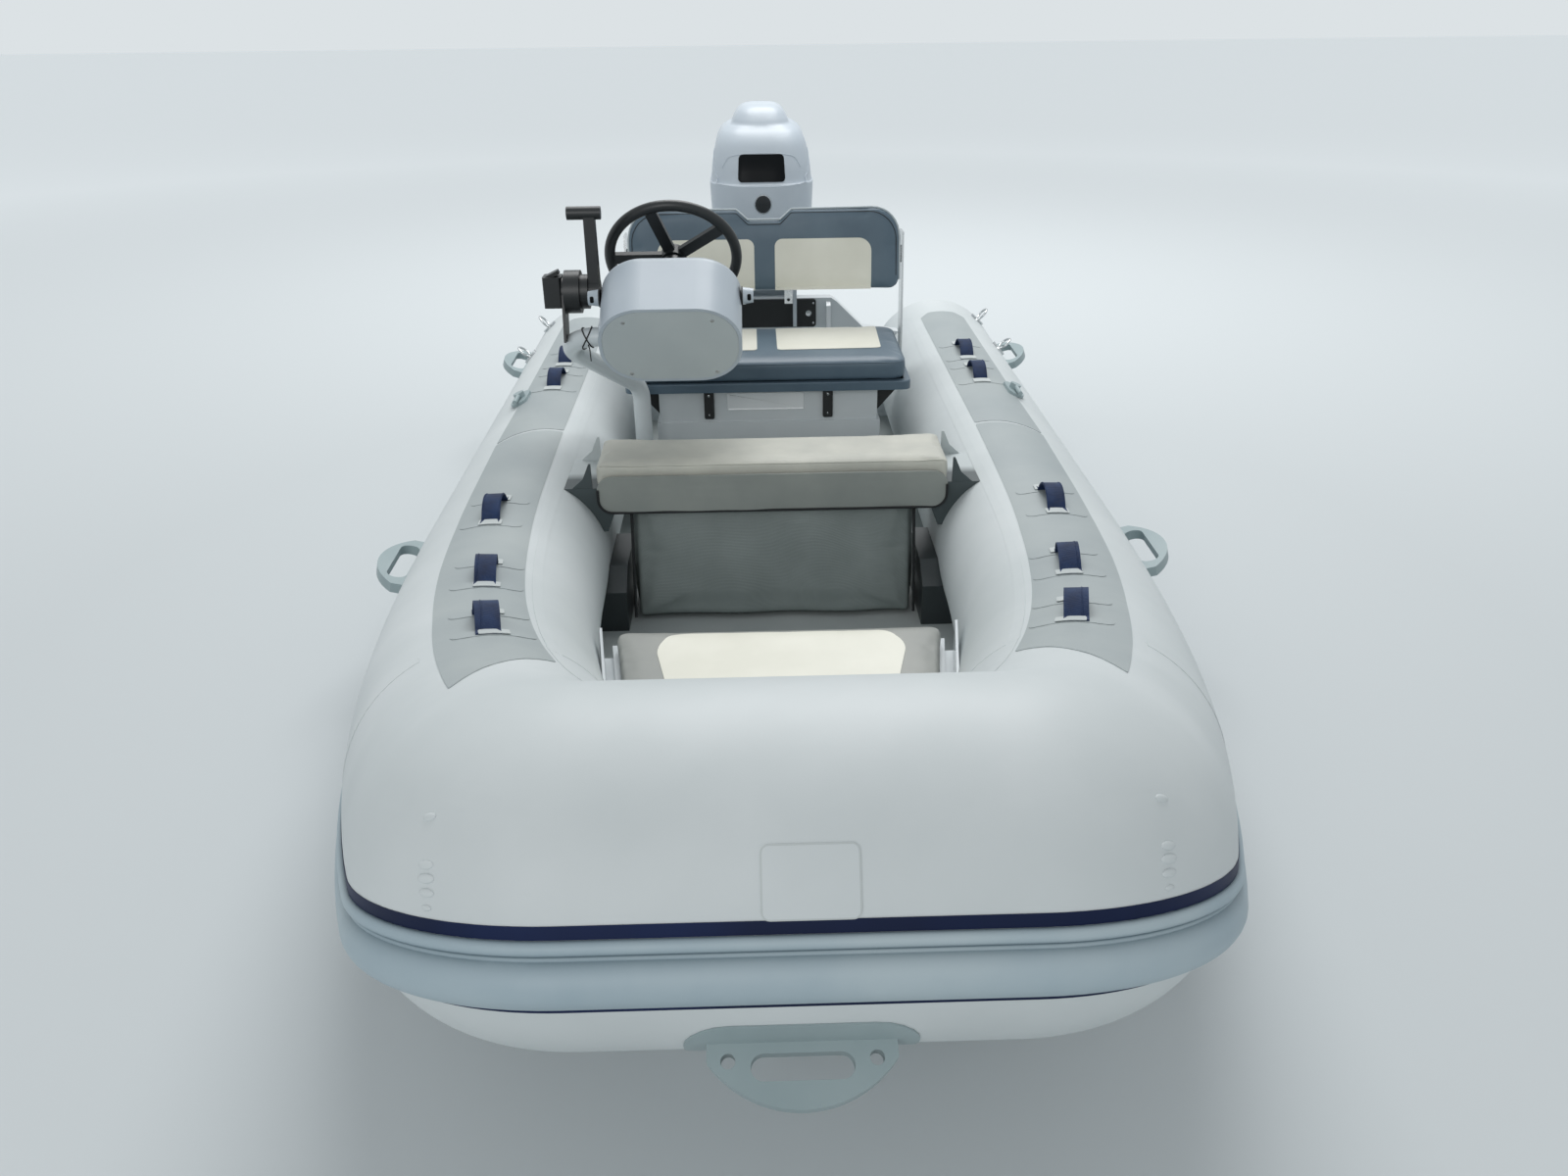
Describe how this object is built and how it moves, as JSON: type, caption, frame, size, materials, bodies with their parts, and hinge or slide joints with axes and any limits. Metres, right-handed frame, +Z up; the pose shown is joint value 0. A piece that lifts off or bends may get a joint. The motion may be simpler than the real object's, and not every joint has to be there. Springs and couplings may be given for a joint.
{
  "type": "rigid inflatable boat with outboard engine",
  "caption": "Rigid inflatable boat: three air chambers on a vee hull, helm seat, offset console with wheel, bow locker, thwart, tilting and steering outboard.",
  "frame": {"origin": "on the centreline at the waterline, halfway along the boat", "axes": "-Y to the bow, +Y to the stern, +X to port, +Z up"},
  "size_m": [1.7594, 3.6767, 1.4333],
  "materials": {
    "white_chamber_fabric": "satin",
    "white_gelcoat": "gloss",
    "deck_panel": "satin",
    "strake_rubber": "satin",
    "navy_webbing": "matte",
    "grey_moulding": "satin",
    "stainless": "polished",
    "slate_vinyl": "satin",
    "grey_vinyl": "satin",
    "grey_canvas": "matte",
    "dark_panel": "gloss",
    "black_rubber": "matte",
    "white_moulding": "gloss",
    "grey_panel": "satin",
    "white_paint": "gloss",
    "black_plastic": "satin",
    "engine_bracket_paint": "gloss",
    "engine_paint": "gloss",
    "cast_block": "matte",
    "propeller_alloy": "satin"
  },
  "bodies": {
    "boat": {"tube_bow": "white_chamber_fabric", "tube_port": "white_chamber_fabric", "tube_starboard": "white_chamber_fabric", "hull": "white_gelcoat", "transom": "white_gelcoat", "bow_locker": "white_gelcoat", "seat_box": "white_gelcoat", "deck": "deck_panel", "rub_strake": "strake_rubber", "strap_handles": "navy_webbing", "side_handles": "grey_moulding", "bow_handle": "grey_moulding", "rowlocks": "grey_moulding", "lifting_rings": "stainless", "tow_eye": "stainless", "backrest_frame": "stainless", "backrest": "slate_vinyl", "thwart_cushion": "grey_canvas", "thwart_bag": "grey_canvas", "side_panels": "dark_panel", "thwart": "dark_panel", "seat_latches": "black_rubber", "seat_gussets": "black_rubber", "transom_pad": "black_rubber", "console": "white_moulding", "console_plate": "grey_panel", "console_arm": "white_paint", "helm_hub": "black_plastic", "switch_box": "black_plastic", "nav_lights": "black_plastic", "control_box": "black_plastic", "control_lever": "black_plastic", "engine_bracket": "engine_bracket_paint"},
    "seat_lid": {"seat_lid": "white_gelcoat", "seat_cushion": "slate_vinyl"},
    "locker_lid": {"locker_lid": "white_gelcoat", "bow_cushion": "grey_vinyl"},
    "steering_wheel": {"steering_wheel": "black_plastic"},
    "swivel": {"swivel_bracket": "engine_bracket_paint"},
    "engine": {"midsection": "engine_paint", "gearcase": "engine_paint", "lower_cowl": "engine_paint", "powerhead": "cast_block", "cowl": "engine_paint"},
    "propeller": {"propeller": "propeller_alloy"}
  },
  "joints": [
    {"name": "engine_tilt", "type": "hinge", "parent": "boat", "child": "swivel", "pos_m": [0, 1.378, 0.505], "axis": [1, 0, 0], "range_deg": [0, 60]},
    {"name": "engine_steer", "type": "hinge", "parent": "swivel", "child": "engine", "pos_m": [0, 1.458, 0.38], "axis": [0, 0, 1], "range_deg": [-35, 35]},
    {"name": "propeller_spin", "type": "hinge", "parent": "engine", "child": "propeller", "pos_m": [0, 1.652, -0.275], "axis": [0, 1, 0], "continuous": true},
    {"name": "wheel_turn", "type": "hinge", "parent": "boat", "child": "steering_wheel", "pos_m": [-0.228, 0.32981, 0.805], "axis": [0, -0.866, -0.5], "range_deg": [-525, 525]},
    {"name": "seat_hinge", "type": "hinge", "parent": "boat", "child": "seat_lid", "pos_m": [0, 0.902, 0.4293], "axis": [-1, 0, 0], "range_deg": [0, 60]},
    {"name": "locker_hinge", "type": "hinge", "parent": "boat", "child": "locker_lid", "pos_m": [0, -1.123, 0.2453], "axis": [1, 0, 0], "range_deg": [0, 70]}
  ],
  "couplings": [
    {"joint": "wheel_turn", "follows": "engine_steer", "ratio": 15}
  ]
}
